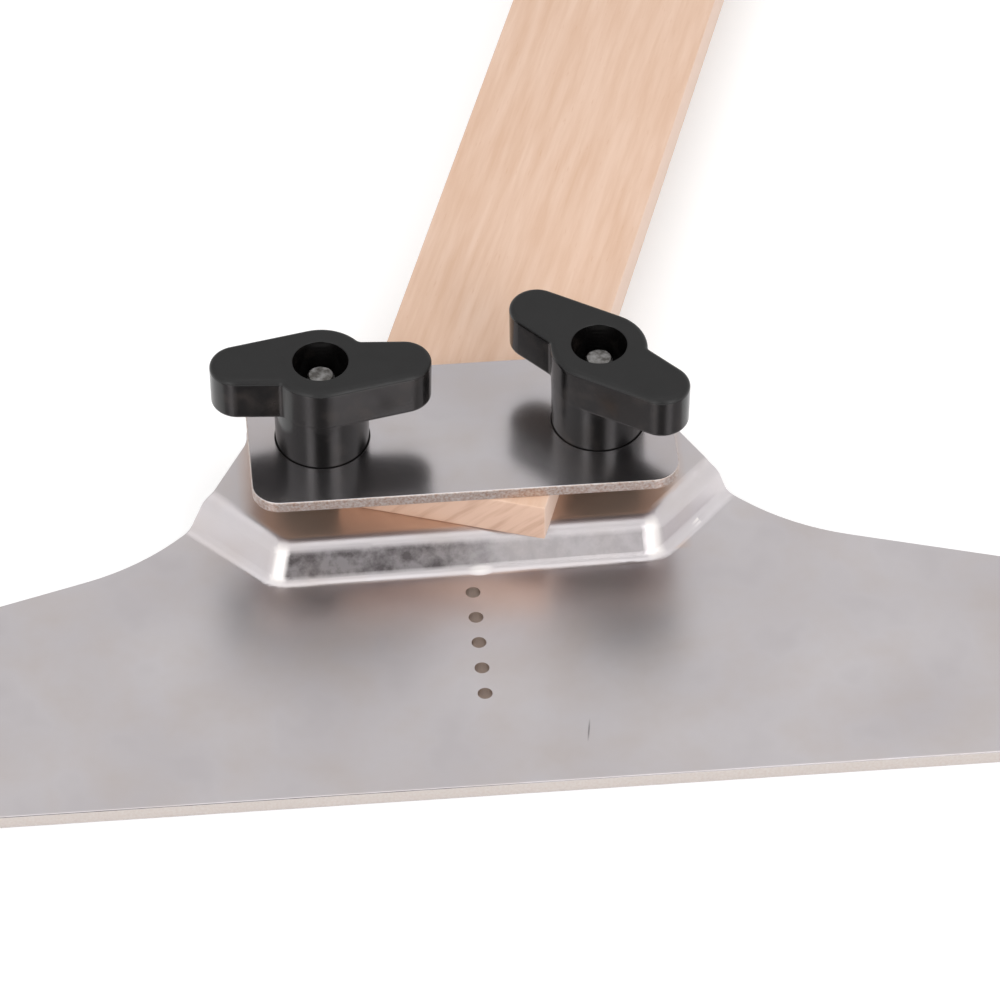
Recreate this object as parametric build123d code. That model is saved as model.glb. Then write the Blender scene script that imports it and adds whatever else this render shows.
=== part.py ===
from build123d import *
import math
import os

# A stair tread template tool: one pressed steel head that clamps a wooden slat.
# The head lies on the tread with its long straight edge against the board at the tread's end.
# Frame: origin on the underside, in the middle small hole of the centre line.
# X runs along the straight edge, Y points back towards the clamp, and Z is up.
# Every size is in millimetres, and every angle in degrees.

# Base plate: sheet and outline
sheet = 3.4
plate_width = 250.0
front_edge_y = -41.4
end_corner_radius = 3.0
taper_angle = 16.8
taper_peak_y = 50.6
shoulder_angle = 43.0
shoulder_radius = 56.0
neck_width = 92.0
neck_foot_x = 59.2
neck_foot_y = 39.95
neck_foot_radius = 6.0
neck_crest_x = 54.4
neck_crest_y = 43.0
neck_crest_radius = 3.0
neck_corner_y = 58.1
neck_corner_radius = 7.0
neck_back_y = 66.0
neck_back_radius = 6.0

# Base plate: raised platform
platform_rise = 7.5
platform_middle_x = 0.1
platform_lean = 0.85
platform_front_y = 25.8
platform_front_width = 80.8
platform_front_turn = 0.7
platform_side_turn = 46.5
front_wall_slope = 60.0
side_wall_slope = 63.0
platform_corner_radius = 8.0
crest_radius = 4.8
foot_radius = 2.8
plate_edge_break = 0.3

# Small holes on the centre line
small_hole_radius = 1.6
small_hole_pitch = 7.5
small_hole_count = 5

# Cup square bolts, standing up through the platform
bolt_line_y = 46.0
bolt_spacing = 60.0
bolt_radius = 2.95
bolt_length = 33.9
bolt_end_chamfer = 0.4
bolt_neck_gap = 0.1
bolt_neck_height = 3.1
bolt_head_radius = 6.75
bolt_head_height = 3.3

# Slat between the platform and the clamp plate
slat_bolt_play = 14.0
slat_thickness = 9.5
slat_length = 240.0
slat_near_end = 17.4
slat_angle = 18.7
slat_edge_break = 0.4

# Clamp plate
clamp_width = 92.3
clamp_depth = 40.2
clamp_thickness = 2.7
clamp_corner_radius = 6.0
clamp_hole_gap = 0.55
clamp_edge_break = 0.3

# Moulded wing knobs
knob_height = 22.4
hub_top_radius = 10.5
hub_foot_radius = 10.15
wing_reach = 17.8
wing_offset = 0.46
wing_tip_radius = 6.05
wing_height = 11.0
hub_seam = 0.02
notch_radius = 1.6
knob_top_round = 1.3
knob_under_round = 1.0
knob_bore_radius = 6.0
knob_bore_depth = 12.0
knob_bore_round = 0.3
left_knob_angle = -4.2
right_knob_angle = -48.1

# Hexagon nuts pressed into the knobs
nut_width = 10.0
nut_height = 5.0
nut_chamfer = 0.6
nut_thread_gap = 0.05
nut_pocket_gap = 0.02
knob_passage_gap = 0.35

# Widths that follow from the bolts
slat_width = bolt_spacing - slat_bolt_play
bolt_neck_width = 2 * bolt_radius

# Heights that follow from the stack
platform_under_z = platform_rise
platform_top_z = platform_rise + sheet
clamp_under_z = platform_top_z + slat_thickness
clamp_top_z = clamp_under_z + clamp_thickness
nut_seat = knob_height - knob_bore_depth - nut_height
margin = 40.0


def turned(angle):
    """Unit direction at an angle from +X towards +Y, as a pair."""
    return math.cos(math.radians(angle)), math.sin(math.radians(angle))


def sine(angle):
    """Rise of a line at an angle, for each millimetre of its length."""
    return math.sin(math.radians(angle))


def slant(angle):
    """Run of a line at an angle, for each millimetre that it rises."""
    return 1 / math.tan(math.radians(angle))


def shoulder_corner():
    """Where the shoulder's diagonal, if it ran on straight, would meet the taper."""
    diagonal = math.tan(math.radians(shoulder_angle))
    taper = math.tan(math.radians(taper_angle))
    across = (neck_foot_y + diagonal * neck_foot_x - taper_peak_y) / (diagonal - taper)
    return across, taper_peak_y - taper * across


def plate_outline():
    """Outline of the base plate: a straight front, two tapers, and shoulders that sweep up to a neck.

    The pressing drew the edge in across each side wall, so it kinks at the wall's foot and crest.
    """
    half = plate_width / 2
    end_y = taper_peak_y - math.tan(math.radians(taper_angle)) * half
    right = [
        (half, front_edge_y, end_corner_radius),
        (half, end_y, end_corner_radius),
        (*shoulder_corner(), shoulder_radius),
        (neck_foot_x, neck_foot_y, neck_foot_radius),
        (neck_crest_x, neck_crest_y, neck_crest_radius),
        (neck_width / 2, neck_corner_y, neck_corner_radius),
        (neck_width / 2, neck_back_y, neck_back_radius),
    ]
    corners = right + [(-x, y, radius) for x, y, radius in reversed(right)]
    points = [(x, y) for x, y, radius in corners]
    radii = [radius for x, y, radius in corners]
    return make_face(FilletPolyline(*points, radius=radii, close=True))


def platform_face(z, inset):
    """Flat section of the platform at a height, moved inwards by an inset across each wall."""
    drop = platform_top_z - z
    front_spread = drop * slant(front_wall_slope) - inset / sine(front_wall_slope)
    side_spread = drop * slant(side_wall_slope) - inset / sine(side_wall_slope)
    along, out = turned(platform_side_turn)
    half = platform_front_width / 2 + (side_spread - front_spread * along) / out
    skew = half * math.tan(math.radians(platform_front_turn))
    back = neck_back_y + margin
    left_y = platform_front_y - front_spread - skew
    right_y = platform_front_y - front_spread + skew
    left_end = -half - (back - left_y) * slant(platform_side_turn)
    right_end = half + (back - right_y) * slant(platform_side_turn)
    points = [(-half, left_y), (half, right_y), (right_end, back), (left_end, back)]
    middle = platform_middle_x - platform_lean * drop / platform_rise
    return Pos(middle, 0, z) * make_face(Polyline(*points, close=True))


def platform_block(top_z, inset, corner_radius, top_radius):
    """Solid with the platform's sloping walls, rounded at its two front corners and along its top."""
    block = loft([platform_face(0, inset), platform_face(top_z, inset)], ruled=True)
    back = neck_back_y + margin
    corners = block.edges().filter_by(lambda e: e.bounding_box().size.Z > 1 and e.center().Y < back - 1)
    block = fillet(corners, corner_radius)
    crest = block.faces().sort_by(Axis.Z)[-1].edges().filter_by(lambda e: e.center().Y < back - 1)
    return fillet(crest, top_radius)


def pressed_sheet():
    """Wide sheet with the platform pressed up out of it, before the outline is cut."""
    wide = plate_width + 4 * margin
    deep = 2 * (neck_back_y - front_edge_y) + 4 * margin
    back = neck_back_y + margin
    flat = Pos(0, back - deep / 2, sheet / 2) * Box(wide, deep, sheet)
    blank = flat + platform_block(platform_top_z, 0, platform_corner_radius, crest_radius)
    foot = blank.edges().filter_by(
        lambda e: abs(e.bounding_box().max.Z - sheet) < 0.01
        and abs(e.bounding_box().min.Z - sheet) < 0.01
        and abs(e.center().X) < wide / 2 - 1
        and back - deep + 1 < e.center().Y < back - 1
    )
    blank = fillet(foot, foot_radius)
    hollow = platform_block(platform_under_z, sheet, platform_corner_radius - sheet, crest_radius - sheet)
    blank = blank - hollow
    mouth = blank.edges().filter_by(
        lambda e: abs(e.bounding_box().max.Z) < 0.01
        and abs(e.bounding_box().min.Z) < 0.01
        and abs(e.center().X) < wide / 2 - 1
        and back - deep + 1 < e.center().Y < back - 1
    )
    return fillet(mouth, foot_radius + sheet)


def flat_rim(plate, outline):
    """Edges of the cut outline along both faces of the flat sheet, up to the platform's foot."""
    line = outline.face().outer_wire()

    def on_rim(edge):
        middle = edge @ 0.5
        level = edge.bounding_box().size.Z < 0.01 and middle.Z < sheet + 0.01
        return level and line.distance_to(Vertex(middle.X, middle.Y, 0)) < 0.01

    return plate.edges().filter_by(on_rim)


def base_plate():
    """Pressed steel base: outline cut, square holes for the bolts and the row of small holes."""
    outline = plate_outline()
    plate = pressed_sheet() & Pos(0, 0, -margin / 2) * extrude(outline, platform_top_z + margin)
    plate = fillet(flat_rim(plate, outline), plate_edge_break)
    hole_width = bolt_neck_width + 2 * bolt_neck_gap
    for side in (-1, 1):
        place = Pos(side * bolt_spacing / 2, bolt_line_y, platform_under_z + sheet / 2)
        plate -= place * Box(hole_width, hole_width, 2 * sheet)
    for row in range(small_hole_count):
        y = (row - (small_hole_count - 1) / 2) * small_hole_pitch
        plate -= Pos(0, y, sheet / 2) * Cylinder(small_hole_radius, 2 * sheet)
    return plate


def clamp_plate():
    """Flat steel plate with rounded corners and a clearance hole for each bolt."""
    plate = extrude(RectangleRounded(clamp_width, clamp_depth, clamp_corner_radius), clamp_thickness)
    plate = fillet(plate.edges().filter_by(Plane.XY), clamp_edge_break)
    for side in (-1, 1):
        place = Pos(side * bolt_spacing / 2, 0, clamp_thickness / 2)
        plate -= place * Cylinder(bolt_radius + clamp_hole_gap, 2 * clamp_thickness)
    return Pos(0, bolt_line_y, clamp_under_z) * plate


def slat():
    """Straight wooden slat, swivelled clockwise about the middle between the bolts."""
    middle = slat_length / 2 - slat_near_end
    wood = Pos(0, middle, slat_thickness / 2) * Box(slat_width, slat_length, slat_thickness)
    wood = chamfer(wood.edges().filter_by(Axis.Y), slat_edge_break)
    return Pos(0, bolt_line_y, platform_top_z) * Rot(0, 0, -slat_angle) * wood


def bolt(side):
    """Cup square bolt: domed head, square neck and shank, standing on the platform's underside."""
    bulge = (bolt_head_radius**2 + bolt_head_height**2) / (2 * bolt_head_height)
    ball = Pos(0, 0, bulge - bolt_head_height) * Sphere(bulge)
    head = ball & Pos(0, 0, -bolt_head_height / 2) * Cylinder(bolt_head_radius, bolt_head_height)
    neck = Pos(0, 0, bolt_neck_height / 2) * Box(bolt_neck_width, bolt_neck_width, bolt_neck_height)
    shank = Pos(0, 0, bolt_length / 2) * Cylinder(bolt_radius, bolt_length)
    shank = chamfer(shank.edges().sort_by(Axis.Z)[-1], bolt_end_chamfer)
    return Pos(side * bolt_spacing / 2, bolt_line_y, platform_under_z) * (head + neck + shank)


def wing_outline():
    """Plan of the knob: a round hub and two wings, each flush with the hub on one side only."""
    reach = math.hypot(wing_reach, wing_offset)
    middle = math.degrees(math.atan2(wing_offset, wing_reach))
    swing = math.degrees(math.acos((hub_top_radius - wing_tip_radius) / reach))
    flush = turned(middle - swing)
    tip = (wing_reach, wing_offset)
    far = turned((middle - swing + 90) / 2)
    back_y = wing_offset + wing_tip_radius
    hub_x = math.sqrt(hub_top_radius**2 - back_y**2)
    hub_side = turned((math.degrees(math.atan2(back_y, hub_x)) + middle - swing + 180) / 2)
    hub_flush = (hub_top_radius * flush[0], hub_top_radius * flush[1])
    tip_flush = (tip[0] + wing_tip_radius * flush[0], tip[1] + wing_tip_radius * flush[1])
    tip_far = (tip[0] + wing_tip_radius * far[0], tip[1] + wing_tip_radius * far[1])
    hub_mid = (hub_top_radius * hub_side[0], hub_top_radius * hub_side[1])
    notch = (hub_x, back_y)
    half = [
        Line(hub_flush, tip_flush),
        ThreePointArc(tip_flush, tip_far, (wing_reach, back_y)),
        Line((wing_reach, back_y), notch),
        ThreePointArc(notch, hub_mid, (-hub_flush[0], -hub_flush[1])),
    ]
    other = [Rot(0, 0, 180) * line for line in half]
    face = make_face(half + other)
    notches = face.vertices().filter_by(
        lambda v: abs(abs(v.X) - notch[0]) < 0.01 and abs(abs(v.Y) - notch[1]) < 0.01
    )
    return fillet(notches, notch_radius)


def knob_body():
    """Moulded knob, standing on its hub: drafted hub, two wings, a wide bore and a nut pocket."""
    lean = (hub_top_radius - hub_foot_radius) / knob_height
    draft = math.degrees(math.atan(lean))
    wings = extrude(Pos(0, 0, knob_height) * wing_outline(), amount=-wing_height, taper=draft)
    wings = fillet(wings.faces().sort_by(Axis.Z)[-1].edges(), knob_top_round)
    wings = fillet(wings.faces().sort_by(Axis.Z)[0].edges(), knob_under_round)
    hub_height = knob_height - wing_height / 2
    hub_foot = hub_foot_radius - hub_seam
    hub = Pos(0, 0, hub_height / 2) * Cone(hub_foot, hub_foot + lean * hub_height, hub_height)
    body = wings + hub
    bore_z = knob_height - knob_bore_depth / 2
    body -= Pos(0, 0, bore_z) * Cylinder(knob_bore_radius, knob_bore_depth)
    rim = body.faces().sort_by(Axis.Z)[-1].edges().filter_by(GeomType.CIRCLE)
    rim = rim.filter_by(lambda e: abs(e.radius - knob_bore_radius) < 0.01)
    body = fillet(rim, knob_bore_round)
    pocket_radius = (nut_width / 2 + nut_pocket_gap) / math.cos(math.radians(30))
    pocket = extrude(RegularPolygon(pocket_radius, 6), nut_height)
    body -= Pos(0, 0, nut_seat) * pocket
    passage_radius = bolt_radius + knob_passage_gap
    return body - Pos(0, 0, nut_seat / 2) * Cylinder(passage_radius, 2 * nut_seat)


def nut():
    """Hexagon nut with chamfered corners, standing on its lower face."""
    corner_radius = nut_width / 2 / math.cos(math.radians(30))
    block = extrude(RegularPolygon(corner_radius, 6), nut_height)
    cone = Pos(0, 0, nut_height / 2) * Cylinder(corner_radius, nut_height)
    block &= chamfer(cone.edges().filter_by(GeomType.CIRCLE), nut_chamfer / 2, nut_chamfer)
    return block - Pos(0, 0, nut_height / 2) * Cylinder(bolt_radius + nut_thread_gap, 2 * nut_height)


def knob_place(side, angle):
    """Where a knob stands: on the clamp plate, on its bolt, turned by its own angle."""
    return Pos(side * bolt_spacing / 2, bolt_line_y, clamp_top_z) * Rot(0, 0, angle)


def build():
    """Every piece by its node name."""
    pieces = {"base_plate": base_plate(), "clamp_plate": clamp_plate(), "slat": slat()}
    body = knob_body()
    hexagon = nut()
    for name, side, angle in (("left", -1, left_knob_angle), ("right", 1, right_knob_angle)):
        pieces[name + "_bolt"] = bolt(side)
        pieces[name + "_knob"] = knob_place(side, angle) * body
        pieces[name + "_nut"] = knob_place(side, angle) * Pos(0, 0, nut_seat) * hexagon
    return pieces


if __name__ == "__main__":
    os.makedirs("parts", exist_ok=True)
    for name, piece in build().items():
        export_step(piece, os.path.join("parts", name + ".step"))
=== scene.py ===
import math

import bmesh
import bpy
from mathutils import Matrix, Vector


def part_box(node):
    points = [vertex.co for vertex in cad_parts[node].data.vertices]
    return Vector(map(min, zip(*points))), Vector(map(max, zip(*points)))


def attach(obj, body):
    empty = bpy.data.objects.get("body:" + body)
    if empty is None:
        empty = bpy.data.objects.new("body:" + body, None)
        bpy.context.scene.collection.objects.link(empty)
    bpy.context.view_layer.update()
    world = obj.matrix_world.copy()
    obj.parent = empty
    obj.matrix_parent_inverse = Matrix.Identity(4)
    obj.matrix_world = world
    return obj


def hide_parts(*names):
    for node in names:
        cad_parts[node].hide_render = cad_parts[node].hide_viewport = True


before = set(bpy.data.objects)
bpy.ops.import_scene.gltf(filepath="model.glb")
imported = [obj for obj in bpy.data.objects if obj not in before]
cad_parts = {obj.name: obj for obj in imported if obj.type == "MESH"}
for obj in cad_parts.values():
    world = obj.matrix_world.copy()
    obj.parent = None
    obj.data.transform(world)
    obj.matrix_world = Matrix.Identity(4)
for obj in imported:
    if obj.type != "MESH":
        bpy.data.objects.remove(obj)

bl_info = {
    "name": "Stair tread template tool",
    "version": (1, 0, 0),
    "blender": (4, 5, 0),
    "location": "3D View > Sidebar > Tread Tool",
    "description": "Finishes the steel head, the beech slat, the bolts and the knobs of a stair tread template tool",
    "category": "Object",
}

MM = 0.001
MERGE = 0.001 * MM

# Marks on the two plates: the middle, half widths and turn of each oval, where 1 m along Z leaves height out.
KINK_PLACE = (2.2 * MM, 20.9 * MM, 4.3 * MM)
KINK_SIZE = (3.6 * MM, 1.6 * MM, 1.3 * MM)
SCRATCH_PLACE = (20.9 * MM, -27.5 * MM, 0)
SCRATCH_SIZE = (0.25 * MM, 3.6 * MM, 1)
SCRATCH_TURN = math.radians(-9)
HOLE_ROW_SIZE = (5 * MM, 25 * MM, 1)
FOOT_SHADOW_PLACE = (30 * MM, 46 * MM, 0)
# Where the left wall's painted shade, the brown film with its painted reflection and the painted shadow rings fade:
# the coordinate where each one starts, and the one where it is at its strongest.
SHADE_LEFT_FADE = {"From Min": 8 * MM, "From Max": -6 * MM}
REFLECTION_FILM_SIDES = {"From Min": 49 * MM, "From Max": 43 * MM}
REFLECTION_FILM_FRONT = {"From Min": 24 * MM, "From Max": 25 * MM}
FOOT_SHADOW_REACH = {"From Min": 10.5 * MM, "From Max": 10.3 * MM}

# The pith of the slat's tree, from the slat's underside at the bolt line, and the width of one growth ring.
PITH = (35 * MM, 0, -28 * MM)
RING_WIDTH = 2.6 * MM

# Each softbox's place, width and height, and the point that both face.
SOFTBOXES = {
    "left_softbox": ((-0.75, -1.1, 0.64), 0.38, 1.2),
    "right_softbox": ((0.59, -1.19, 0.64), 0.5, 1.2),
}
LIT_POINT = Vector((0, 30 * MM, 0))


def linear(hex_colour):
    """The linear colour, with alpha, of an sRGB hex value."""
    parts = [int(hex_colour[i : i + 2], 16) / 255 for i in (1, 3, 5)]
    return tuple(c / 12.92 if c <= 0.04045 else ((c + 0.055) / 1.055) ** 2.4 for c in parts) + (1.0,)


def colour(name, description, hex_colour):
    """A colour property with an sRGB hex value as its default."""
    return bpy.props.FloatVectorProperty(
        name=name, description=description, subtype="COLOR", size=4, min=0, max=1, default=linear(hex_colour)
    )


def length(name, description, size):
    """A length property with its default in millimetres."""
    return bpy.props.FloatProperty(name=name, description=description, unit="LENGTH", default=size * MM)


def angle(name, description, degrees):
    """An angle property with its default in degrees."""
    return bpy.props.FloatProperty(
        name=name, description=description, unit="ROTATION", subtype="ANGLE", default=math.radians(degrees)
    )


def number(name, description, value):
    """A plain number property."""
    return bpy.props.FloatProperty(name=name, description=description, default=value)


class SteelSettings(bpy.types.PropertyGroup):
    """Cold rolled sheet of the base plate and the clamp plate."""

    dark: colour("Dark cloud", "Steel where the rolled skin is dullest", "#CAC4C6")
    light: colour("Light cloud", "Steel where the rolled skin is brightest", "#D8D3D5")
    rub: colour("Rub", "Brownish blotches where wood and hands rub the skin", "#B5A69C")
    # Painted shade of the left front wall, and also the colour of the one scratch.
    shade_and_scratch: colour("Scuff", "Skin darkened where it dragged over the tool", "#4C4647")
    # Painted highlight: the lighter colour of the two front corners and of the kink.
    painted_highlight: colour("Burnish", "Corners that the die rubbed bright", "#E6E1DF")
    # Partly wood dust, partly painted reflection of the wood's bounced light.
    dust_and_reflection: colour("Wood dust", "Brown film round the slat, under the clamp", "#D0B098")
    # Painted shadow: the black ring round each knob's foot on the clamp.
    foot_shadow: colour("Grime", "Black ring that a knob's foot rubs into the clamp", "#1B1917")
    cut: colour("Cut edge", "Bare steel along the sheared edges", "#CBC4C0")
    rust: colour("Edge rust", "Brown specks in the torn part of a sheared edge", "#A07A62")
    # The small holes' walls are darker than the cut edges.
    bore: colour("Hole wall", "Drilled walls of the small holes, dull with use", "#B8A89E")
    cloud: length("Cloud size", "Width of the soft clouds in the rolled skin", 26)
    blotch: length("Blotch size", "Width of the brownish blotches", 13)
    mottle: length("Mottle size", "Width of the mottles where the sheet was drawn over the tool", 4)
    fine: length("Fine grain", "Width of the rust specks and of the grain from the rolls", 0.6)
    base_roughness: number("Base roughness", "Roughness of the base plate's flat skin", 0.295)
    clamp_roughness: number("Clamp roughness", "Roughness of the clamp plate's flat skin", 0.2)


class SlatSettings(bpy.types.PropertyGroup):
    """Planed beech slat."""

    width: length("Width", "Width across the grain", 46)
    thickness: length("Thickness", "Thickness between the two plates", 9.5)
    near_end: length("Near end", "Length in front of the bolt line", 17.4)
    total: length("Length", "Length along the grain", 240)
    swivel: angle("Swivel", "How far the slat is turned to the right", 18.7)
    pivot: length("Pivot", "Distance of the bolt line from the frame's origin", 46)
    edge: length("Edge break", "Sanded round of the long edges", 0.4)
    pale: colour("Pale wood", "Beech between its growth rings", "#E2C3AE")
    ring: colour("Ring", "Beech along its growth rings", "#D3AD92")
    narrow: colour("Narrow face", "Faces cut along the rays, paler than the wide ones", "#E2C9BA")
    fleck: colour("Fleck", "Short rays cut lengthways", "#C99B7A")
    end_grain: colour("End grain", "Sawn end of the slat", "#D4B39E")
    end_ring: colour("End ring", "Growth rings on the sawn end", "#B08A74")


class BoltSettings(bpy.types.PropertyGroup):
    """Zinc plated cup square bolts and the nuts in the knobs."""

    crest: length("Crest radius", "Radius of the thread's crest", 2.95)
    root: length("Root radius", "Radius of the thread's root", 2.4)
    pitch: length("Pitch", "Rise of the thread in one turn", 1)
    neck: length("Neck height", "Height of the square neck", 3.1)
    head_height: length("Head height", "Height of the domed head", 3.3)
    head_radius: length("Head radius", "Radius of the domed head", 6.75)
    corner: length("Neck corner", "Round of the square neck's corners", 0.4)
    chamfer: length("End chamfer", "Chamfer on the thread's end", 0.4)
    dimple: length("End dimple", "Depth of the hollow that heading leaves in the end", 0.5)
    plating: colour("Plating", "Zinc plated steel", "#A5A3A2")
    stain: colour("Stain", "Zinc dulled to oxide where the knob rubs it", "#625F5C")
    crystal: length("Crystal size", "Width of the plating's patches", 1.2)


class KnobSettings(bpy.types.PropertyGroup):
    """Moulded black wing knobs."""

    plastic: colour("Plastic", "Black moulding compound", "#0C0B0B")
    smudge: colour("Smudge", "Greyish brown dirt on the sides", "#3A332F")
    side_roughness: number("Side roughness", "Roughness of the drafted sides", 0.18)
    top_roughness: number("Top roughness", "Roughness of the grained top", 0.5)
    patch: length("Patch size", "Width of the smudges and of the glossier patches", 6)
    grain: length("Mould grain", "Size of the fine grain that the mould leaves", 0.5)


class StageSettings(bpy.types.PropertyGroup):
    """Floor, lamps and camera."""

    azimuth: angle("Azimuth", "How far the camera looks to the right of straight ahead", 5.095)
    elevation: angle("Elevation", "How far the camera looks down", 44.969)
    distance: length("Distance", "From the camera to the point it looks at", 1373.27)
    target_x: length("Target X", "Point the camera looks at, along the straight edge", 8.612)
    target_y: length("Target Y", "Point the camera looks at, back from the origin", 45.945)
    lens: number("Lens", "Focal length in mm on a 36 mm sensor", 225.16)
    sky: number("Sky", "Brightness of the studio at both sides", 1.22)
    back: number("Back", "Brightness of the studio's back, above the horizon", 0.85)
    overhead: number("Overhead", "Brightness straight above", 1.8)
    side_panels: number("Side panels", "Brightness of the panels high at both sides", 1.62)
    behind_camera: number("Behind camera", "Brightness of the studio's dark side, round the camera", 0.17)
    low_front: number("Low front", "Brightness of the studio below the camera", 0.34)
    softbox: number("Softboxes", "Radiance of the two softboxes", 3.8)
    floor_glow: number("Floor glow", "White that camera, metal and glass see", 0.32)


def settings(name):
    """The property group of that name on the scene."""
    return getattr(bpy.context.scene, "tread_tool_" + name)


def add(tree, kind, values=None, links=None):
    """Add one node, with values for its properties or inputs, and links from other nodes' outputs."""
    node = tree.nodes.new("ShaderNode" + kind)
    for key, value in (values or {}).items():
        if isinstance(key, str) and hasattr(node, key):
            setattr(node, key, value)
        else:
            node.inputs[key].default_value = value
    for key, output in (links or {}).items():
        tree.links.new(output, node.inputs[key])
    return node


def ramp(node, *stops):
    """Set a colour ramp's stops, each a position and a grey level or colour."""
    elements = node.color_ramp.elements
    while len(elements) < len(stops):
        elements.new(0.5)
    for element, (position, value) in zip(elements, stops):
        element.position = position
        element.color = value if isinstance(value, tuple) else (value, value, value, 1.0)
    return node.outputs["Color"]


def spot(tree, place, middle, size, turn=0.0):
    """How far out a point lies in an oval spot, from 0 in its middle to 1 at its rim."""
    oval = {"vector_type": "TEXTURE", "Location": middle, "Rotation": (0, 0, turn), "Scale": size}
    inside = add(tree, "Mapping", oval, {"Vector": place}).outputs[0]
    return add(tree, "VectorMath", {"operation": "LENGTH"}, {0: inside}).outputs["Value"]


def stretched_noise(tree, place, size, values, turn=(0, 0, 0)):
    """Noise with cells of that size along the three axes."""
    cells = add(tree, "Mapping", {"vector_type": "TEXTURE", "Rotation": turn, "Scale": size}, {"Vector": place})
    return add(tree, "TexNoise", {"Scale": 1.0, **values}, {"Vector": cells.outputs[0]}).outputs["Fac"]


def facing_share(tree, normal, way, start, end, most):
    """How much a surface faces along a direction or back along it, from 0 at start to most at end."""
    along = add(tree, "VectorMath", {"operation": "DOT_PRODUCT", 1: way}, {0: normal}).outputs["Value"]
    along = add(tree, "Math", {"operation": "ABSOLUTE"}, {0: along}).outputs[0]
    return add(tree, "MapRange", {"From Min": start, "From Max": end, "To Max": most}, {"Value": along}).outputs[0]


def new_material(name):
    """An empty node material with its output and a Principled shader joined up."""
    material = bpy.data.materials.new(name)
    material.use_nodes = True
    tree = material.node_tree
    tree.nodes.clear()
    shader = add(tree, "BsdfPrincipled")
    add(tree, "OutputMaterial", links={"Surface": shader.outputs["BSDF"]})
    return material, tree, shader


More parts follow.
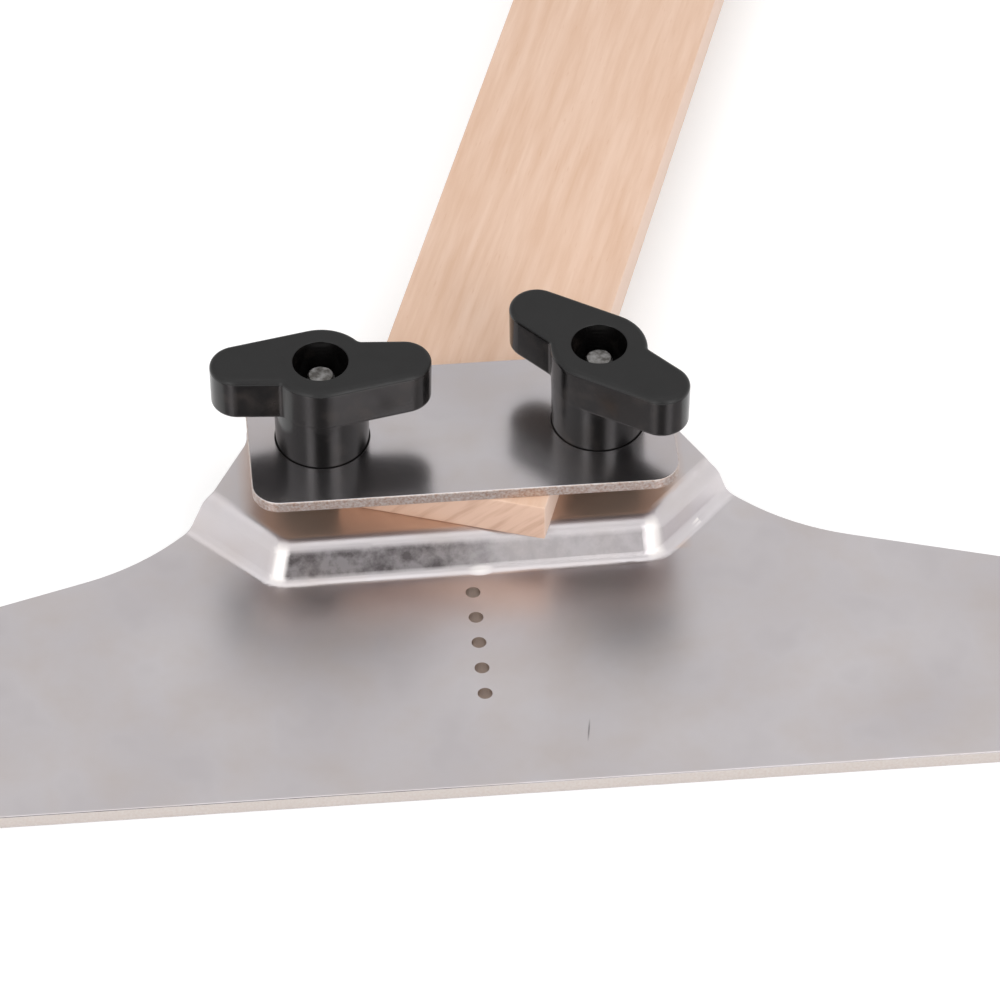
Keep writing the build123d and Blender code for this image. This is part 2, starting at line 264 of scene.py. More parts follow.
def steel_sheet(name, roughness, metal, rim, rusty, film_and_reflection_share, corner_highlight, foot_shadow_share):
    """Cold rolled mild steel, sheared and pressed: satin mirror on the flats, mottled where it was drawn.

    The skin ends, and a cut edge starts, where a face is less level than rim. The last four values are
    how much this plate has of edge rust, brown film (wood dust and painted reflection), corners with
    painted highlight, and painted shadow rings round the knobs' feet.
    """
    look = settings("steel")
    material, tree, shader = new_material(name)
    coords = add(tree, "TexCoord")
    place = coords.outputs["Object"]
    parts = add(tree, "SeparateXYZ", links={0: place}).outputs
    facing = add(tree, "SeparateXYZ", links={0: coords.outputs["Normal"]}).outputs
    # Level is 1 on a flat face, 0.5 on the steep front wall and 0 on a cut edge.
    level = add(tree, "Math", {"operation": "ABSOLUTE"}, {0: facing["Z"]}).outputs[0]
    flat = ramp(add(tree, "ValToRGB", links={"Fac": level}), (rim - 0.2, 0.0), (rim, 1.0))
    # Walls and bends, neither level nor upright, are where the sheet was drawn over the tool.
    drawn = add(tree, "ValToRGB", links={"Fac": level})
    drawn = ramp(drawn, (0.25, 0.0), (0.35, 1.0), (0.8, 1.0), (0.995, 0.0))

    # The rolls leave soft clouds, a few centimetres wide.
    clouds = add(tree, "TexNoise", {"Scale": 1 / look.cloud, "Detail": 3.0, "Roughness": 0.55}, {"Vector": place})
    skin = add(tree, "ValToRGB", links={"Fac": clouds.outputs["Fac"]})
    skin = ramp(skin, (0.3, tuple(look.dark)), (0.7, tuple(look.light)))
    # Handling leaves faint brownish blotches, about a centimetre wide.
    blots = add(tree, "TexNoise", {"Scale": 1 / look.blotch, "Detail": 2.5, "Roughness": 0.5}, {"Vector": place})
    blots = blots.outputs["Fac"]
    blotches = add(tree, "MapRange", {"From Min": 0.42, "From Max": 0.72, "To Max": 0.32}, {"Value": blots}).outputs[0]

    # Painted shade: the left half of the drawn front wall is made darker, in mottles a few millimetres wide, in place
    # of the darker reflection it shows there.
    mottles = add(tree, "TexNoise", {"Scale": 1 / look.mottle, "Detail": 4.0, "Roughness": 0.6}, {"Vector": place})
    mottles = mottles.outputs["Fac"]
    left = add(tree, "MapRange", {**SHADE_LEFT_FADE, "To Min": 0.45}, {"Value": parts["X"]})
    front = add(tree, "MapRange", {"From Min": -0.65, "From Max": -0.82}, {"Value": facing["Y"]})
    patchy = {"From Min": 0.38, "From Max": 0.6, "To Min": 0.6, "To Max": 0.92}
    patchy = add(tree, "MapRange", patchy, {"Value": mottles})
    left_wall_shade = left.outputs[0]
    for share in (front.outputs[0], drawn, patchy.outputs[0]):
        left_wall_shade = add(tree, "Math", {"operation": "MULTIPLY"}, {0: left_wall_shade, 1: share}).outputs[0]

    # Painted highlight: the two front corners, where they mirror the softboxes, are made lighter, and rougher so that
    # the light spreads.
    sideways = add(tree, "Math", {"operation": "ABSOLUTE"}, {0: facing["X"]}).outputs[0]
    ahead = add(tree, "Math", {"operation": "MULTIPLY", 1: -1.0}, {0: facing["Y"]}).outputs[0]
    ahead = add(tree, "Math", {"operation": "MAXIMUM", 1: 0.01}, {0: ahead}).outputs[0]
    turn = add(tree, "Math", {"operation": "DIVIDE"}, {0: sideways, 1: ahead}).outputs[0]
    corner = add(tree, "ValToRGB", links={"Fac": turn})
    corner = ramp(corner, (0.1, 0.0), (0.28, 1.0), (0.6, 1.0), (0.85, 0.0))
    corner = add(tree, "Math", {"operation": "MULTIPLY"}, {0: corner, 1: drawn}).outputs[0]
    corner = add(tree, "Math", {"operation": "MULTIPLY", 1: corner_highlight}, {0: corner}).outputs[0]

    # The pressing left a kink, 7 mm long, in the middle of the front wall's foot: a bump, made lighter as a painted
    # highlight.
    kink = {"interpolation_type": "SMOOTHSTEP", "From Min": 1.0, "From Max": 0.4}
    kink = add(tree, "MapRange", kink, {"Value": spot(tree, place, KINK_PLACE, KINK_SIZE)}).outputs[0]
    # One dark scratch, 7 mm long, crosses the skin in front of the platform.
    scratch = spot(tree, place, SCRATCH_PLACE, SCRATCH_SIZE, SCRATCH_TURN)
    scratch = add(tree, "MapRange", {"From Min": 1.0, "From Max": 0.3, "To Max": 0.6}, {"Value": scratch}).outputs[0]

    # A brown film, less metallic, where the clamp covers the platform's top: partly wood dust and tannin, partly a
    # painted reflection of the light that the wood bounces there.
    aside = add(tree, "Math", {"operation": "ABSOLUTE"}, {0: parts["X"]}).outputs[0]
    aside = add(tree, "MapRange", {**REFLECTION_FILM_SIDES, "To Max": film_and_reflection_share}, {"Value": aside})
    inside = add(tree, "MapRange", REFLECTION_FILM_FRONT, {"Value": parts["Y"]})
    even = add(tree, "MapRange", {"From Min": 0.97, "From Max": 0.995}, {"Value": level})
    film_and_reflection = aside.outputs[0]
    for share in (inside.outputs[0], even.outputs[0]):
        film_and_reflection = add(tree, "Math", {"operation": "MULTIPLY"}, {0: film_and_reflection, 1: share}).outputs[0]
    metallic = add(tree, "MapRange", {"To Min": metal, "To Max": metal - 0.27}, {"Value": film_and_reflection})
    tree.links.new(metallic.outputs[0], shader.inputs["Metallic"])

    # Painted shadow: a thin black ring on the clamp round each bolt, just outside the knob's foot, where the contact
    # shadow falls.
    ring = add(tree, "VectorMath", {"operation": "ABSOLUTE"}, {0: place}).outputs[0]
    ring = add(tree, "VectorMath", {"operation": "SUBTRACT", 1: FOOT_SHADOW_PLACE}, {0: ring}).outputs[0]
    ring = add(tree, "VectorMath", {"operation": "MULTIPLY", 1: (1, 1, 0)}, {0: ring}).outputs[0]
    ring = add(tree, "VectorMath", {"operation": "LENGTH"}, {0: ring}).outputs["Value"]
    ring = add(tree, "MapRange", {**FOOT_SHADOW_REACH, "To Max": foot_shadow_share}, {"Value": ring}).outputs[0]

    # Of these, the left wall's shade, the corners' and kink's lighter colour, part of the brown film and the black
    # rings are painted light.
    for share, tint in (
        (blotches, look.rub),
        (left_wall_shade, look.shade_and_scratch),
        (corner, look.painted_highlight),
        (kink, look.painted_highlight),
        (scratch, look.shade_and_scratch),
        (film_and_reflection, look.dust_and_reflection),
        (ring, look.foot_shadow),
    ):
        skin = add(tree, "Mix", {"data_type": "RGBA", 7: tuple(tint)}, {0: share, 6: skin}).outputs[2]

    # Shearing tears the lower part of an edge, and rust starts there in specks about half a millimetre wide.
    fine = add(tree, "TexNoise", {"Scale": 1 / look.fine, "Detail": 2.0}, {"Vector": place}).outputs["Fac"]
    torn = add(tree, "MapRange", {"From Min": 0.35, "From Max": 0.7, "To Max": rusty}, {"Value": fine})
    cut = add(tree, "Mix", {"data_type": "RGBA", 6: tuple(look.cut), 7: tuple(look.rust)}, {0: torn.outputs[0]})
    # The small holes' walls are darker: an oval round the row of holes marks them off.
    away = spot(tree, place, (0, 0, 0), HOLE_ROW_SIZE)
    away = add(tree, "Math", {"operation": "GREATER_THAN", 1: 1.0}, {0: away}).outputs[0]
    wall = add(tree, "Mix", {"data_type": "RGBA", 6: tuple(look.bore)}, {0: away, 7: cut.outputs[2]}).outputs[2]
    tone = add(tree, "Mix", {"data_type": "RGBA"}, {0: flat, 6: wall, 7: skin})
    tree.links.new(tone.outputs[2], shader.inputs["Base Color"])

    # The blotches vary the gloss. Mottles, the corners with painted highlight and the painted shadow rings are duller,
    # and cut edges dullest.
    gloss = {"From Min": 0.3, "From Max": 0.7, "To Min": roughness - 0.015, "To Max": roughness + 0.03}
    gloss = add(tree, "MapRange", gloss, {"Value": blots}).outputs[0]
    dull = add(tree, "Math", {"operation": "MULTIPLY"}, {0: mottles, 1: drawn}).outputs[0]
    for share, duller in ((dull, 0.15), (corner, 0.12), (ring, 0.3)):
        gloss = add(tree, "Math", {"operation": "MULTIPLY_ADD", 1: duller}, {0: share, 2: gloss}).outputs[0]
    edge = add(tree, "MapRange", {"To Min": 0.5, "To Max": 0.0}, {"Value": flat}).outputs[0]
    gloss = add(tree, "Math", {"operation": "MAXIMUM"}, {0: gloss, 1: edge}).outputs[0]
    tree.links.new(gloss, shader.inputs["Roughness"])

    # The mottles tilt the walls a little, and the kink stands out. The sheet isn't quite flat: waves about a
    # centimetre long and 0.01 mm deep break up what it mirrors. Roll grain, really about 0.1 mm, is drawn as
    # wide as the rust specks, the finest that shows.
    bump = add(tree, "Bump", {"Strength": 0.6, "Distance": 0.05 * MM}, {"Height": dull}).outputs[0]
    for height, strength, depth in ((kink, 1.0, 0.2), (blots, 1.0, 0.012), (fine, 0.3, 0.002)):
        values = {"Strength": strength, "Distance": depth * MM}
        bump = add(tree, "Bump", values, {"Height": height, "Normal": bump}).outputs[0]
    tree.links.new(bump, shader.inputs["Normal"])
    return material


def zinc_plated_steel():
    """Zinc plated steel: a grey metal, dulled by the plating's fine crystals."""
    look = settings("bolts")
    material, tree, shader = new_material("zinc_plated_steel")
    shader.inputs["Metallic"].default_value = 1.0
    place = add(tree, "TexCoord").outputs["Object"]
    # The zinc's crystals, really about 0.1 mm, are drawn as patches 1.2 mm wide that vary in tone and gloss.
    spots = add(tree, "TexNoise", {"Scale": 1 / look.crystal, "Detail": 3.0}, {"Vector": place}).outputs["Fac"]
    tone = add(tree, "ValToRGB", links={"Fac": spots})
    ramp(tone, (0.35, tuple(look.stain)), (0.7, tuple(look.plating)))
    tree.links.new(tone.outputs["Color"], shader.inputs["Base Color"])
    gloss = add(tree, "MapRange", {"From Min": 0.3, "From Max": 0.7, "To Min": 0.3, "To Max": 0.5}, {"Value": spots})
    tree.links.new(gloss.outputs[0], shader.inputs["Roughness"])
    bump = add(tree, "Bump", {"Strength": 0.5, "Distance": 0.05 * MM}, {"Height": spots})
    tree.links.new(bump.outputs[0], shader.inputs["Normal"])
    return material


def planed_beech():
    """Planed, bare beech: pale pinkish wood with faint growth rings and short dark ray flecks."""
    look = settings("slat")
    material, tree, shader = new_material("planed_beech")
    shader.inputs["Roughness"].default_value = 0.6
    shader.inputs["IOR"].default_value = 1.45
    coords = add(tree, "TexCoord")
    normal = coords.outputs["Normal"]
    along_slat = {"vector_type": "TEXTURE", "Location": (0, look.pivot, 0), "Rotation": (0, 0, -look.swivel)}
    grain = add(tree, "Mapping", along_slat, {"Vector": coords.outputs["Object"]}).outputs[0]

    # The rings are shells round a pith below the slat, and wander by a few millimetres along the grain.
    wander = stretched_noise(tree, grain, (12 * MM, 100 * MM, 12 * MM), {"Detail": 2.0})
    across = {"Location": tuple(-part for part in PITH), "Scale": (1, 0, 1)}
    across = add(tree, "Mapping", across, {"Vector": grain}).outputs[0]
    depth = add(tree, "VectorMath", {"operation": "LENGTH"}, {0: across}).outputs["Value"]
    shell = add(tree, "Math", {"operation": "MULTIPLY_ADD", 1: 6 * MM}, {0: wander, 2: depth}).outputs[0]
    turns = add(tree, "Math", {"operation": "DIVIDE", 1: RING_WIDTH}, {0: shell}).outputs[0]
    part = add(tree, "Math", {"operation": "FRACT"}, {0: turns}).outputs[0]
    rings = ramp(add(tree, "ValToRGB", links={"Fac": part}), (0.0, 0.15), (0.6, 0.6), (0.85, 1.0), (1.0, 0.15))
    # Fibres about 0.3 mm wide streak the planed face.
    fibres = stretched_noise(tree, grain, (0.7 * MM, 30 * MM, 0.7 * MM), {"Detail": 3.0})
    # Bundles of fibres 1 to 3 mm wide and a few centimetres long lie a little darker or paler.
    bundles = stretched_noise(tree, grain, (2.2 * MM, 28 * MM, 2.2 * MM), {"Detail": 3.0, "Roughness": 0.6})
    bundles = add(tree, "MapRange", {"From Min": 0.32, "From Max": 0.68}, {"Value": bundles}).outputs[0]
    streaks = add(tree, "Math", {"operation": "MULTIPLY"}, {0: rings, 1: fibres}).outputs[0]
    streaks = add(tree, "Mix", {"data_type": "FLOAT", 0: 0.65}, {2: streaks, 3: bundles}).outputs[0]
    wood = add(tree, "Mix", {"data_type": "RGBA", 6: tuple(look.pale), 7: tuple(look.ring)}, {0: streaks}).outputs[2]
    # Rays show on the face as dark dashes, about 0.3 mm wide and 2 mm long.
    rays = stretched_noise(tree, grain, (0.5 * MM, 4 * MM, 0.5 * MM), {"Detail": 1.0})
    flecks = ramp(add(tree, "ValToRGB", links={"Fac": rays}), (0.68, 0.0), (0.8, 0.3))
    wood = add(tree, "Mix", {"data_type": "RGBA", 7: tuple(look.fleck)}, {0: flecks, 6: wood}).outputs[2]

    # The narrow faces are cut along the rays, which makes them paler.
    sideways = (math.cos(look.swivel), -math.sin(look.swivel), 0)
    narrow = facing_share(tree, normal, sideways, 0.5, 0.9, 0.8)
    wood = add(tree, "Mix", {"data_type": "RGBA", 7: tuple(look.narrow)}, {0: narrow, 6: wood}).outputs[2]
    # Sawn end grain soaks up light, so it looks darker. Growth rings cross it aslant, as soft bands 1.5 mm wide.
    aslant = (0, -math.pi / 4, 0)
    bands = stretched_noise(tree, grain, (12 * MM, 50 * MM, 1.3 * MM), {"Detail": 2.0}, aslant)
    bands = add(tree, "MapRange", {"From Min": 0.45, "From Max": 0.7, "To Max": 0.5}, {"Value": bands}).outputs[0]
    sawn = {"data_type": "RGBA", 6: tuple(look.end_grain), 7: tuple(look.end_ring)}
    sawn = add(tree, "Mix", sawn, {0: bands}).outputs[2]
    lengthways = (math.sin(look.swivel), math.cos(look.swivel), 0)
    ends = facing_share(tree, normal, lengthways, 0.6, 0.9, 1.0)
    tone = add(tree, "Mix", {"data_type": "RGBA"}, {0: ends, 6: wood, 7: sawn})
    tree.links.new(tone.outputs[2], shader.inputs["Base Color"])
    bump = add(tree, "Bump", {"Strength": 0.25, "Distance": 0.03 * MM}, {"Height": fibres})
    tree.links.new(bump.outputs[0], shader.inputs["Normal"])
    return material


def moulded_nylon():
    """Glass filled black nylon, injection moulded: satin, with a faint grain from the mould."""
    look = settings("knobs")
    material, tree, shader = new_material("moulded_black_nylon")
    shader.inputs["IOR"].default_value = 1.5
    shader.inputs["Specular IOR Level"].default_value = 0.42
    coords = add(tree, "TexCoord")
    place = coords.outputs["Object"]
    # The mould's sides are polished so that the knob comes out, and its top is grained.
    up = add(tree, "SeparateXYZ", links={0: coords.outputs["Normal"]}).outputs["Z"]
    grained = add(tree, "MapRange", {"From Min": 0.1, "From Max": 0.6}, {"Value": up}).outputs[0]
    side = add(tree, "Math", {"operation": "SUBTRACT", 0: 1.0}, {1: grained}).outputs[0]
    # Hands leave greyish brown smudges on the sides, about 6 mm wide.
    smudges = add(tree, "TexNoise", {"Scale": 1 / look.patch, "Detail": 4.0}, {"Vector": place}).outputs["Fac"]
    smudges = add(tree, "MapRange", {"From Min": 0.52, "From Max": 0.72, "To Max": 0.4}, {"Value": smudges})
    smudges = add(tree, "Math", {"operation": "MULTIPLY"}, {0: smudges.outputs[0], 1: side}).outputs[0]
    tone = {"data_type": "RGBA", 6: tuple(look.plastic), 7: tuple(look.smudge)}
    tree.links.new(add(tree, "Mix", tone, {0: smudges}).outputs[2], shader.inputs["Base Color"])
    # Flow in the mould leaves patches of that width that are a little glossier.
    flow = add(tree, "TexNoise", {"Scale": 1 / look.patch, "Detail": 2.0}, {"Vector": place}).outputs["Fac"]
    flow = add(tree, "MapRange", {"From Min": 0.3, "From Max": 0.7, "To Min": -0.05, "To Max": 0.05}, {"Value": flow})
    skin = add(tree, "MapRange", {"To Min": look.side_roughness, "To Max": look.top_roughness}, {"Value": grained})
    gloss = add(tree, "Math", {"operation": "ADD"}, {0: skin.outputs[0], 1: flow.outputs[0]}).outputs[0]
    tree.links.new(gloss, shader.inputs["Roughness"])
    grain = add(tree, "TexNoise", {"Scale": 1 / look.grain, "Detail": 3.0}, {"Vector": place}).outputs["Fac"]
    height = add(tree, "Math", {"operation": "MULTIPLY"}, {0: grain, 1: grained}).outputs[0]
    bump = add(tree, "Bump", {"Strength": 0.5, "Distance": 0.015 * MM}, {"Height": height})
    tree.links.new(bump.outputs[0], shader.inputs["Normal"])
    return material


def dress(node, material):
    """Give a CAD node's slots this material."""
    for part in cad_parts[node].material_slots:
        part.material = material


def finished_piece(bm, name, material, body, slot, *nodes):
    """Make a mesh object, with its place in its mesh, that rides on a body and stands for CAD nodes."""
    bmesh.ops.remove_doubles(bm, verts=bm.verts, dist=MERGE)
    bmesh.ops.recalc_face_normals(bm, faces=bm.faces)
    mesh = bpy.data.meshes.new(name)
    bm.to_mesh(mesh)
    bm.free()
    mesh.materials.append(material)
    piece = bpy.data.objects.new(name, mesh)
    bpy.context.scene.collection.objects.link(piece)
    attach(piece, body)
    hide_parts(*nodes)
    return piece


def shade(piece, limit):
    """Smooth a piece's faces, but keep the edges that are sharper than a limit in degrees."""
    for face in piece.data.polygons:
        face.use_smooth = True
    piece.data.set_sharp_from_angle(angle=math.radians(limit))


class TREADTOOL_OT_steel_plates(bpy.types.Operator):
    """Give the base plate and the clamp plate their rolled steel"""

    bl_idname = "tread_tool.steel_plates"
    bl_label = "Steel plates"

    def execute(self, context):
        look = settings("steel")
        base = {"metal": 0.975, "rim": 0.3, "rusty": 0.15, "film_and_reflection_share": 0.8, "corner_highlight": 1.0, "foot_shadow_share": 0.0}
        clamp = {"metal": 0.985, "rim": 0.95, "rusty": 0.7, "film_and_reflection_share": 0.0, "corner_highlight": 0.0, "foot_shadow_share": 1.0}
        dress("base_plate", steel_sheet("cold_rolled_steel_base", look.base_roughness, **base))
        dress("clamp_plate", steel_sheet("cold_rolled_steel_clamp", look.clamp_roughness, **clamp))
        return {"FINISHED"}


class TREADTOOL_OT_slat(bpy.types.Operator):
    """Make the beech slat with softened edges"""

    bl_idname = "tread_tool.slat"
    bl_label = "Slat"

    def execute(self, context):
        size = settings("slat")
        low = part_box("slat")[0].z
        bm = bmesh.new()
        bmesh.ops.create_cube(bm, size=1.0)
        bmesh.ops.scale(bm, vec=(size.width, size.total, size.thickness), verts=bm.verts)
        bmesh.ops.bevel(bm, geom=bm.edges, offset=size.edge, affect="EDGES", segments=3, profile=0.5, material=-1)
        bmesh.ops.translate(bm, vec=(0, size.total / 2 - size.near_end, size.thickness / 2), verts=bm.verts)
        bmesh.ops.rotate(bm, matrix=Matrix.Rotation(-size.swivel, 3, "Z"), verts=bm.verts)
        bmesh.ops.translate(bm, vec=(0, size.pivot, low), verts=bm.verts)
        piece = finished_piece(bm, "beech_slat", planed_beech(), "slat", "beech", "slat")
        shade(piece, 40)
        return {"FINISHED"}


def threaded_shank(bm, size, low, high):
    """Spin the thread's profile up a shank round the Z axis, and cut it level, with a hollow in its end."""
    around = 40
    # Radius and height, in pitches, along one thread: narrow root, flank, narrow crest, flank.
    profile = [(size.root, 0.0), (size.root, 0.1), (size.crest, 0.48), (size.crest, 0.62), (size.root, 1.0)]
    points = [bm.verts.new((radius, 0, low + (part - 1) * size.pitch)) for radius, part in profile]
    edges = [bm.edges.new(pair) for pair in zip(points, points[1:])]
    turns = math.ceil((high - low) / size.pitch) + 1
    bmesh.ops.spin(
        bm,
        geom=points + edges,
        axis=(0, 0, 1),
        cent=(0, 0, 0),
        dvec=(0, 0, size.pitch / around),
        angle=math.tau * turns,
        steps=around * turns,
    )
    bmesh.ops.remove_doubles(bm, verts=bm.verts, dist=MERGE)
    for height, side in ((low, -1), (high - size.chamfer, 0), (high, 1)):
        bmesh.ops.bisect_plane(
            bm,
            geom=bm.verts[:] + bm.edges[:] + bm.faces[:],
            plane_co=(0, 0, height),
            plane_no=(0, 0, 1),
            clear_inner=side < 0,
            clear_outer=side > 0,
        )
    for point in bm.verts:
        reach = math.hypot(point.co.x, point.co.y)
        limit = size.crest - size.chamfer + high - point.co.z
        if reach > limit:
            point.co.x *= limit / reach
            point.co.y *= limit / reach
    bmesh.ops.holes_fill(bm, edges=[edge for edge in bm.edges if edge.is_boundary], sides=0)
    bm.normal_update()
    end = [face for face in bm.faces if face.normal.z > 0.9 and face.calc_center_median().z > high - 0.01 * MM]
    # The end keeps a level rim 0.8 mm wide, and slopes down from it into a hollow.
    for width, depth in ((0.8 * MM, 0), (0.9 * MM, -size.dimple)):
        bmesh.ops.inset_region(bm, faces=end, thickness=width, depth=depth)


def cup_square_bolt(size, high, seat):
    """A bolt round the Z axis: domed head up to its seat, square neck and threaded shank."""
    bm = bmesh.new()
    threaded_shank(bm, size, seat + size.neck - size.pitch / 2, high)
    width = 2 * size.crest
    neck = bmesh.ops.create_cube(bm, size=1.0)["verts"]
    bmesh.ops.scale(bm, vec=(width, width, size.neck), verts=neck)
    bmesh.ops.translate(bm, vec=(0, 0, seat + size.neck / 2), verts=neck)
    edges = dict.fromkeys(edge for vert in neck for edge in vert.link_edges)
    upright = [edge for edge in edges if abs(edge.verts[0].co.z - edge.verts[1].co.z) > MM]
    bmesh.ops.bevel(bm, geom=upright, offset=size.corner, affect="EDGES", segments=3, profile=0.5, material=-1)
    # The dome is part of a ball, from its crown out to the head's rim, in 10 steps.
    bulge = (size.head_radius**2 + size.head_height**2) / (2 * size.head_height)
    sweep = math.asin(size.head_radius / bulge)
    turns = [sweep * i / 10 for i in range(11)]
    dome = [(bulge * math.sin(turn), seat - size.head_height + bulge * (1 - math.cos(turn))) for turn in turns]
    points = [bm.verts.new((radius, 0, height)) for radius, height in (*dome, (0, seat))]
    edges = [bm.edges.new(pair) for pair in zip(points, points[1:])]
    around = {"axis": (0, 0, 1), "cent": (0, 0, 0), "angle": math.tau, "steps": 48, "use_merge": True}
    bmesh.ops.spin(bm, geom=points + edges, **around)
    return bm


class TREADTOOL_OT_bolts(bpy.types.Operator):
    """Make the two cup square bolts, and plate them and the nuts"""

    bl_idname = "tread_tool.bolts"
    bl_label = "Bolts and nuts"

    def execute(self, context):
        size = settings("bolts")
        zinc = zinc_plated_steel()
        for side in ("left", "right"):
            low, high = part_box(side + "_bolt")
            middle = (low + high) / 2
            bm = cup_square_bolt(size, high.z, low.z + size.head_height)
            bmesh.ops.translate(bm, vec=(middle.x, middle.y, 0), verts=bm.verts)
            piece = finished_piece(bm, side + "_threaded_bolt", zinc, "head", "bolt_steel", side + "_bolt")
            shade(piece, 35)
            dress(side + "_nut", zinc)
        return {"FINISHED"}


class TREADTOOL_OT_knobs(bpy.types.Operator):
    """Give the wing knobs their moulded nylon"""

    bl_idname = "tread_tool.knobs"
    bl_label = "Wing knobs"

    def execute(self, context):
        nylon = moulded_nylon()
        dress("left_knob", nylon)
        dress("right_knob", nylon)
        return {"FINISHED"}


def make_floor():
    """A white floor that keeps the object's shadow, and that camera, metal and glass see as white."""
    bm = bmesh.new()
    bmesh.ops.create_grid(bm, x_segments=1, y_segments=1, size=3.0)
    mesh = bpy.data.meshes.new("floor")
    bm.to_mesh(mesh)
    bm.free()
    floor = bpy.data.objects.new("floor", mesh)
    # The floor is just below the plate, so that the two faces don't meet.
    floor.location.z = -0.05 * MM
    bpy.context.scene.collection.objects.link(floor)
    material = bpy.data.materials.new("white_studio_floor")
    material.use_nodes = True
    tree = material.node_tree
    tree.nodes.clear()
    paint = add(tree, "BsdfDiffuse", {"Color": linear("#E6E6E6")})
    ray = add(tree, "LightPath").outputs
    seen = ray["Is Camera Ray"]
    for other in ("Is Glossy Ray", "Is Transmission Ray"):
        seen = add(tree, "Math", {"operation": "MAXIMUM"}, {0: seen, 1: ray[other]}).outputs[0]
    level = add(tree, "Math", {"operation": "MULTIPLY", 1: settings("stage").floor_glow}, {0: seen}).outputs[0]
    glow = add(tree, "Emission", links={"Strength": level})
    both = add(tree, "AddShader", links={0: paint.outputs[0], 1: glow.outputs[0]})
    add(tree, "OutputMaterial", links={"Surface": both.outputs[0]})
    mesh.materials.append(material)


def make_softbox(name, place, wide, high, radiance):
    """An area lamp that faces the object, with its power worked out from its radiance."""
    data = bpy.data.lights.new(name, "AREA")
    data.shape = "RECTANGLE"
    data.size = wide
    data.size_y = high
    data.energy = radiance * math.pi * wide * high
    lamp = bpy.data.objects.new(name, data)
    lamp.location = place
    lamp.rotation_mode = "QUATERNION"
    lamp.rotation_quaternion = (LIT_POINT - Vector(place)).to_track_quat("-Z", "Y")
    lamp.visible_camera = False
    bpy.context.scene.collection.objects.link(lamp)


def make_studio():
    """White surroundings that are brighter above and darker behind the camera, as metal sees them."""
    look = settings("stage")
    world = bpy.data.worlds.new("studio")
    bpy.context.scene.world = world
    world.use_nodes = True
    tree = world.node_tree
    tree.nodes.clear()
    way = add(tree, "SeparateXYZ", links={0: add(tree, "TexCoord").outputs["Generated"]}).outputs

    def blend(source, start, end, low=0.0, high=1.0):
        """A smooth change from low to high between two values of one coordinate of the direction."""
        values = {"From Min": start, "From Max": end, "To Min": low, "To Max": high}
        values = {"interpolation_type": "SMOOTHSTEP", **values}
        return add(tree, "MapRange", values, {"Value": source}).outputs[0]

    def mixed(share, first, second):
        """Mix two levels, each a number or an output."""
        levels = {2: first, 3: second}
        values = {key: level for key, level in levels.items() if isinstance(level, float)}
        links = {key: level for key, level in levels.items() if key not in values}
        return add(tree, "Mix", {"data_type": "FLOAT", **values}, {0: share, **links}).outputs[0]

    # The back is brighter to the right. It shows in the flats, and the sides and the ceiling in the walls.
    sideways = add(tree, "Math", {"operation": "ABSOLUTE"}, {0: way["X"]}).outputs[0]
    back = blend(way["X"], -0.1, 0.2, 0.98 * look.back, 1.1 * look.back)
    level = mixed(blend(way["Y"], 0.25, 0.6), look.sky, back)
    high = mixed(blend(sideways, 0.12, 0.32), look.overhead, look.side_panels)
    level = mixed(blend(way["Z"], 0.78, 0.88), level, high)
    # The dark side is in front, round the camera, and a little brighter low down.
    low = blend(way["Z"], 0.3, 0.55, look.low_front, look.behind_camera)
    front, narrow = blend(way["Y"], -0.25, -0.6), blend(sideways, 0.15, 0.45, 1.0, 0.0)
    dark = add(tree, "Math", {"operation": "MULTIPLY"}, {0: front, 1: narrow}).outputs[0]
    level = mixed(dark, level, low)
    level = mixed(add(tree, "LightPath").outputs["Is Camera Ray"], level, 1.0)
    background = add(tree, "Background", links={"Strength": level})
    add(tree, "OutputWorld", links={"Surface": background.outputs[0]})


def make_camera():
    """The camera at the photograph's place."""
    look = settings("stage")
    data = bpy.data.cameras.new("camera")
    data.sensor_width = 36.0
    data.lens = look.lens
    data.clip_end = 20.0
    camera = bpy.data.objects.new("camera", data)
    camera.rotation_euler = (math.pi / 2 - look.elevation, 0, -look.azimuth)
    ahead = Vector((0, 0, -1))
    ahead.rotate(camera.rotation_euler)
    camera.location = Vector((look.target_x, look.target_y, 0)) - ahead * look.distance
    bpy.context.scene.collection.objects.link(camera)
    bpy.context.scene.camera = camera


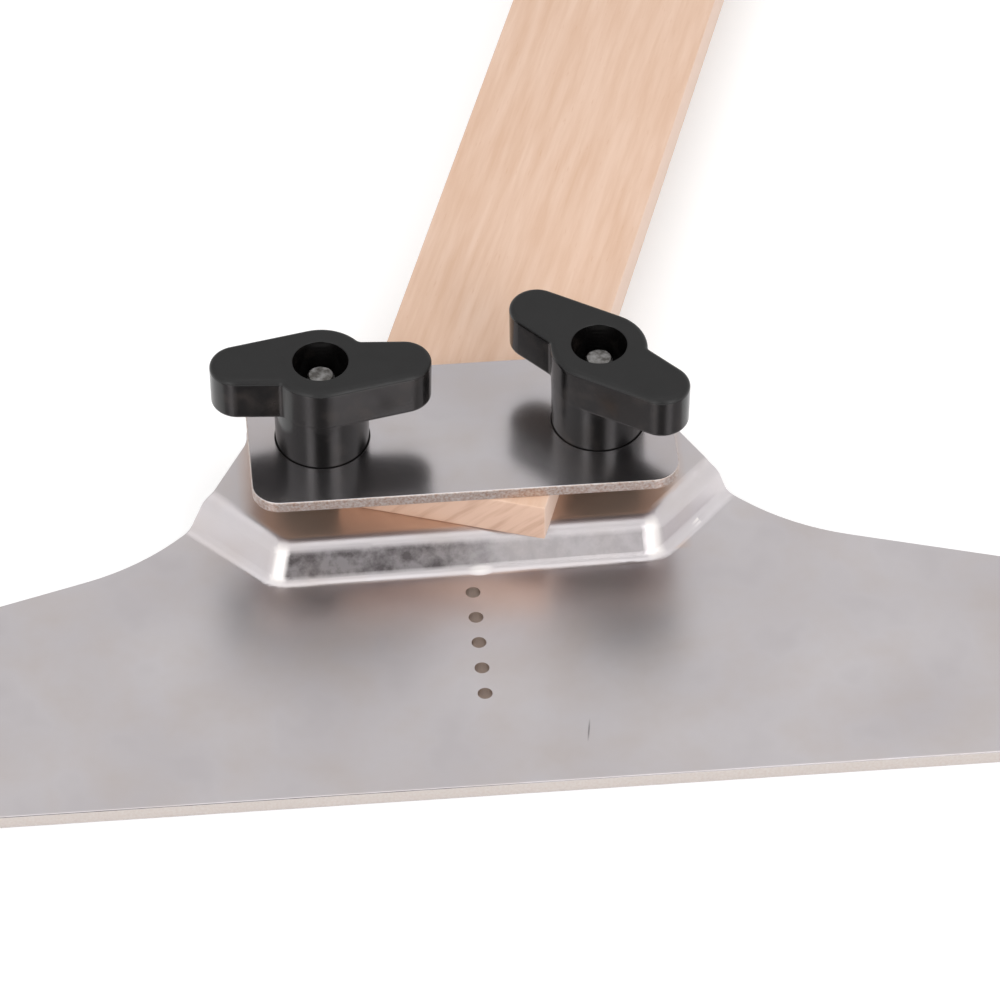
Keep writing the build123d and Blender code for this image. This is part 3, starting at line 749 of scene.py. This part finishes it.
class TREADTOOL_OT_stage(bpy.types.Operator):
    """Set up the floor, the soft light and the camera"""

    bl_idname = "tread_tool.stage"
    bl_label = "Stage"

    def execute(self, context):
        make_floor()
        make_studio()
        for name, (place, wide, high) in SOFTBOXES.items():
            make_softbox(name, place, wide, high, settings("stage").softbox)
        make_camera()
        context.scene.view_settings.view_transform = "Standard"
        return {"FINISHED"}


class TREADTOOL_PT_pieces(bpy.types.Panel):
    """Lists the tool's pieces and their settings"""

    bl_idname = "TREADTOOL_PT_pieces"
    bl_label = "Stair tread template tool"
    bl_space_type = "VIEW_3D"
    bl_region_type = "UI"
    bl_category = "Tread Tool"

    def draw(self, context):
        for name, _, operator in GROUPS:
            box = self.layout.box()
            box.operator(operator.bl_idname)
            group = settings(name)
            for key in group.bl_rna.properties.keys():
                if key not in {"rna_type", "name"}:
                    box.prop(group, key)


GROUPS = (
    ("steel", SteelSettings, TREADTOOL_OT_steel_plates),
    ("slat", SlatSettings, TREADTOOL_OT_slat),
    ("bolts", BoltSettings, TREADTOOL_OT_bolts),
    ("knobs", KnobSettings, TREADTOOL_OT_knobs),
    ("stage", StageSettings, TREADTOOL_OT_stage),
)

CLASSES = (
    *(group for _, group, _ in GROUPS),
    *(operator for _, _, operator in GROUPS),
    TREADTOOL_PT_pieces,
)


def register():
    """Register every class, and put the property groups on the scene."""
    for cls in CLASSES:
        bpy.utils.register_class(cls)
    for name, group, _ in GROUPS:
        setattr(bpy.types.Scene, "tread_tool_" + name, bpy.props.PointerProperty(type=group))


def unregister():
    """Take the property groups off the scene, and unregister every class."""
    for name, _, _ in GROUPS:
        delattr(bpy.types.Scene, "tread_tool_" + name)
    for cls in reversed(CLASSES):
        bpy.utils.unregister_class(cls)


def main():
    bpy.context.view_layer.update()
    register()
    bpy.ops.tread_tool.steel_plates()
    bpy.ops.tread_tool.slat()
    bpy.ops.tread_tool.bolts()
    bpy.ops.tread_tool.knobs()
    bpy.ops.tread_tool.stage()


if __name__ == "__main__":
    main()
